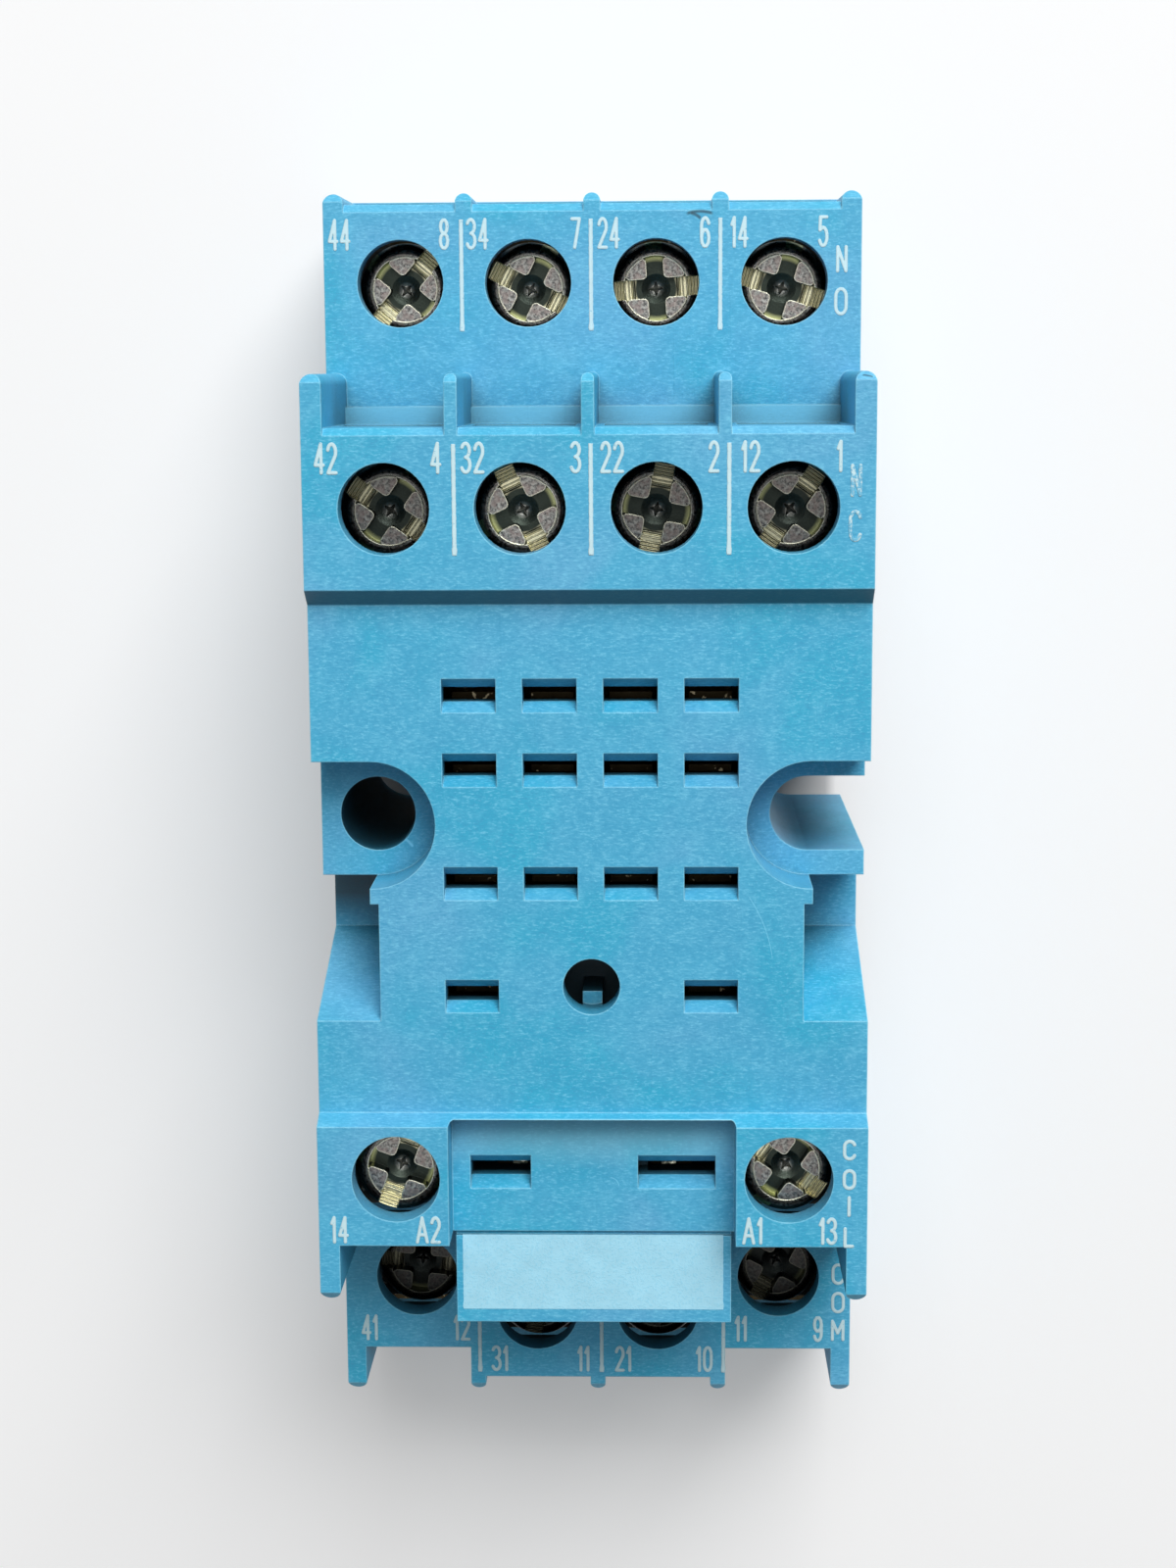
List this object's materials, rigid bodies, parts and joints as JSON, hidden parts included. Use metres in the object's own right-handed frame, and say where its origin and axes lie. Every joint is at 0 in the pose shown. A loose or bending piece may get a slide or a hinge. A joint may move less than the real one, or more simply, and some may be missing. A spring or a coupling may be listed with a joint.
{
  "type": "relay socket",
  "caption": "Relay socket for rail or panel mounting, with screw terminals on two levels round a slotted relay seat, a recess for a plug-in module and a sliding rail clip.",
  "frame": {"origin": "on the back plane, on the centre line of the 35 mm rail and on the mid-plane of the body", "axes": "+X to the right seen from the relay side, +Y to the normally-open terminals, +Z from the rail to the relay"},
  "size_m": [0.0306, 0.0737, 0.0272],
  "materials": {
    "housing": "matte moulded plastic",
    "base": "matte moulded plastic",
    "rail_clip": "matte moulded plastic",
    "screw": "plated steel, dark in the recesses",
    "clamp": "plated steel",
    "contact": "stamped brass"
  },
  "bodies": {
    "root": {"housing": "housing", "base": "base", "contact_strip_44": "contact", "contact_strip_34": "contact", "contact_strip_24": "contact", "contact_strip_14": "contact", "contact_strip_42": "contact", "contact_strip_32": "contact", "contact_strip_22": "contact", "contact_strip_12": "contact", "contact_strip_41": "contact", "contact_strip_31": "contact", "contact_strip_21": "contact", "contact_strip_11": "contact", "contact_strip_a2": "contact", "contact_strip_a1": "contact"},
    "rail_clip": {"rail_clip": "rail_clip"},
    "clamp_44": {"clamp_plate_44": "clamp"},
    "screw_44": {"terminal_screw_44": "screw"},
    "clamp_34": {"clamp_plate_34": "clamp"},
    "screw_34": {"terminal_screw_34": "screw"},
    "clamp_24": {"clamp_plate_24": "clamp"},
    "screw_24": {"terminal_screw_24": "screw"},
    "clamp_14": {"clamp_plate_14": "clamp"},
    "screw_14": {"terminal_screw_14": "screw"},
    "clamp_42": {"clamp_plate_42": "clamp"},
    "screw_42": {"terminal_screw_42": "screw"},
    "clamp_32": {"clamp_plate_32": "clamp"},
    "screw_32": {"terminal_screw_32": "screw"},
    "clamp_22": {"clamp_plate_22": "clamp"},
    "screw_22": {"terminal_screw_22": "screw"},
    "clamp_12": {"clamp_plate_12": "clamp"},
    "screw_12": {"terminal_screw_12": "screw"},
    "clamp_41": {"clamp_plate_41": "clamp"},
    "screw_41": {"terminal_screw_41": "screw"},
    "clamp_31": {"clamp_plate_31": "clamp"},
    "screw_31": {"terminal_screw_31": "screw"},
    "clamp_21": {"clamp_plate_21": "clamp"},
    "screw_21": {"terminal_screw_21": "screw"},
    "clamp_11": {"clamp_plate_11": "clamp"},
    "screw_11": {"terminal_screw_11": "screw"},
    "clamp_a2": {"clamp_plate_a2": "clamp"},
    "screw_a2": {"terminal_screw_a2": "screw"},
    "clamp_a1": {"clamp_plate_a1": "clamp"},
    "screw_a1": {"terminal_screw_a1": "screw"}
  },
  "joints": [
    {"name": "rail_clip_slide", "type": "slide", "parent": "root", "child": "rail_clip", "axis": [0, -1, 0], "range_m": [0, 0.003]},
    {"name": "clamp_44_slide", "type": "slide", "parent": "root", "child": "clamp_44", "axis": [0, 0, 1], "range_m": [-0.00185, 0.0012]},
    {"name": "screw_44_turn", "type": "hinge", "parent": "clamp_44", "child": "screw_44", "pos_m": [-0.0109, 0.02922, 0.013], "axis": [0, 0, 1], "range_deg": [-1340, 870]},
    {"name": "clamp_34_slide", "type": "slide", "parent": "root", "child": "clamp_34", "axis": [0, 0, 1], "range_m": [-0.00185, 0.0012]},
    {"name": "screw_34_turn", "type": "hinge", "parent": "clamp_34", "child": "screw_34", "pos_m": [-0.00364, 0.02922, 0.013], "axis": [0, 0, 1], "range_deg": [-1340, 870]},
    {"name": "clamp_24_slide", "type": "slide", "parent": "root", "child": "clamp_24", "axis": [0, 0, 1], "range_m": [-0.00185, 0.0012]},
    {"name": "screw_24_turn", "type": "hinge", "parent": "clamp_24", "child": "screw_24", "pos_m": [0.00364, 0.02922, 0.013], "axis": [0, 0, 1], "range_deg": [-1340, 870]},
    {"name": "clamp_14_slide", "type": "slide", "parent": "root", "child": "clamp_14", "axis": [0, 0, 1], "range_m": [-0.00185, 0.0012]},
    {"name": "screw_14_turn", "type": "hinge", "parent": "clamp_14", "child": "screw_14", "pos_m": [0.0109, 0.02922, 0.013], "axis": [0, 0, 1], "range_deg": [-1340, 870]},
    {"name": "clamp_42_slide", "type": "slide", "parent": "root", "child": "clamp_42", "axis": [0, 0, 1], "range_m": [-0.00185, 0.0012]},
    {"name": "screw_42_turn", "type": "hinge", "parent": "clamp_42", "child": "screw_42", "pos_m": [-0.0109, 0.01707, 0.013], "axis": [0, 0, 1], "range_deg": [-1340, 870]},
    {"name": "clamp_32_slide", "type": "slide", "parent": "root", "child": "clamp_32", "axis": [0, 0, 1], "range_m": [-0.00185, 0.0012]},
    {"name": "screw_32_turn", "type": "hinge", "parent": "clamp_32", "child": "screw_32", "pos_m": [-0.00364, 0.01707, 0.013], "axis": [0, 0, 1], "range_deg": [-1340, 870]},
    {"name": "clamp_22_slide", "type": "slide", "parent": "root", "child": "clamp_22", "axis": [0, 0, 1], "range_m": [-0.00185, 0.0012]},
    {"name": "screw_22_turn", "type": "hinge", "parent": "clamp_22", "child": "screw_22", "pos_m": [0.00364, 0.01707, 0.013], "axis": [0, 0, 1], "range_deg": [-1340, 870]},
    {"name": "clamp_12_slide", "type": "slide", "parent": "root", "child": "clamp_12", "axis": [0, 0, 1], "range_m": [-0.00185, 0.0012]},
    {"name": "screw_12_turn", "type": "hinge", "parent": "clamp_12", "child": "screw_12", "pos_m": [0.0109, 0.01707, 0.013], "axis": [0, 0, 1], "range_deg": [-1340, 870]},
    {"name": "clamp_41_slide", "type": "slide", "parent": "root", "child": "clamp_41", "axis": [0, 0, 1], "range_m": [-0.00185, 0.0012]},
    {"name": "screw_41_turn", "type": "hinge", "parent": "clamp_41", "child": "screw_41", "pos_m": [-0.0109, -0.02978, 0.013], "axis": [0, 0, 1], "range_deg": [-1340, 870]},
    {"name": "clamp_31_slide", "type": "slide", "parent": "root", "child": "clamp_31", "axis": [0, 0, 1], "range_m": [-0.00185, 0.0012]},
    {"name": "screw_31_turn", "type": "hinge", "parent": "clamp_31", "child": "screw_31", "pos_m": [-0.00364, -0.03192, 0.013], "axis": [0, 0, 1], "range_deg": [-1340, 870]},
    {"name": "clamp_21_slide", "type": "slide", "parent": "root", "child": "clamp_21", "axis": [0, 0, 1], "range_m": [-0.00185, 0.0012]},
    {"name": "screw_21_turn", "type": "hinge", "parent": "clamp_21", "child": "screw_21", "pos_m": [0.00364, -0.03192, 0.013], "axis": [0, 0, 1], "range_deg": [-1340, 870]},
    {"name": "clamp_11_slide", "type": "slide", "parent": "root", "child": "clamp_11", "axis": [0, 0, 1], "range_m": [-0.00185, 0.0012]},
    {"name": "screw_11_turn", "type": "hinge", "parent": "clamp_11", "child": "screw_11", "pos_m": [0.0109, -0.02978, 0.013], "axis": [0, 0, 1], "range_deg": [-1340, 870]},
    {"name": "clamp_a2_slide", "type": "slide", "parent": "root", "child": "clamp_a2", "axis": [0, 0, 1], "range_m": [-0.00185, 0.0012]},
    {"name": "screw_a2_turn", "type": "hinge", "parent": "clamp_a2", "child": "screw_a2", "pos_m": [-0.0109, -0.01999, 0.013], "axis": [0, 0, 1], "range_deg": [-1340, 870]},
    {"name": "clamp_a1_slide", "type": "slide", "parent": "root", "child": "clamp_a1", "axis": [0, 0, 1], "range_m": [-0.00185, 0.0012]},
    {"name": "screw_a1_turn", "type": "hinge", "parent": "clamp_a1", "child": "screw_a1", "pos_m": [0.0109, -0.01999, 0.013], "axis": [0, 0, 1], "range_deg": [-1340, 870]}
  ],
  "couplings": [
    {"joint": "screw_44_turn", "follows": "clamp_44_slide", "rad_per_m": 12566},
    {"joint": "screw_34_turn", "follows": "clamp_34_slide", "rad_per_m": 12566},
    {"joint": "screw_24_turn", "follows": "clamp_24_slide", "rad_per_m": 12566},
    {"joint": "screw_14_turn", "follows": "clamp_14_slide", "rad_per_m": 12566},
    {"joint": "screw_42_turn", "follows": "clamp_42_slide", "rad_per_m": 12566},
    {"joint": "screw_32_turn", "follows": "clamp_32_slide", "rad_per_m": 12566},
    {"joint": "screw_22_turn", "follows": "clamp_22_slide", "rad_per_m": 12566},
    {"joint": "screw_12_turn", "follows": "clamp_12_slide", "rad_per_m": 12566},
    {"joint": "screw_41_turn", "follows": "clamp_41_slide", "rad_per_m": 12566},
    {"joint": "screw_31_turn", "follows": "clamp_31_slide", "rad_per_m": 12566},
    {"joint": "screw_21_turn", "follows": "clamp_21_slide", "rad_per_m": 12566},
    {"joint": "screw_11_turn", "follows": "clamp_11_slide", "rad_per_m": 12566},
    {"joint": "screw_a2_turn", "follows": "clamp_a2_slide", "rad_per_m": 12566},
    {"joint": "screw_a1_turn", "follows": "clamp_a1_slide", "rad_per_m": 12566}
  ]
}
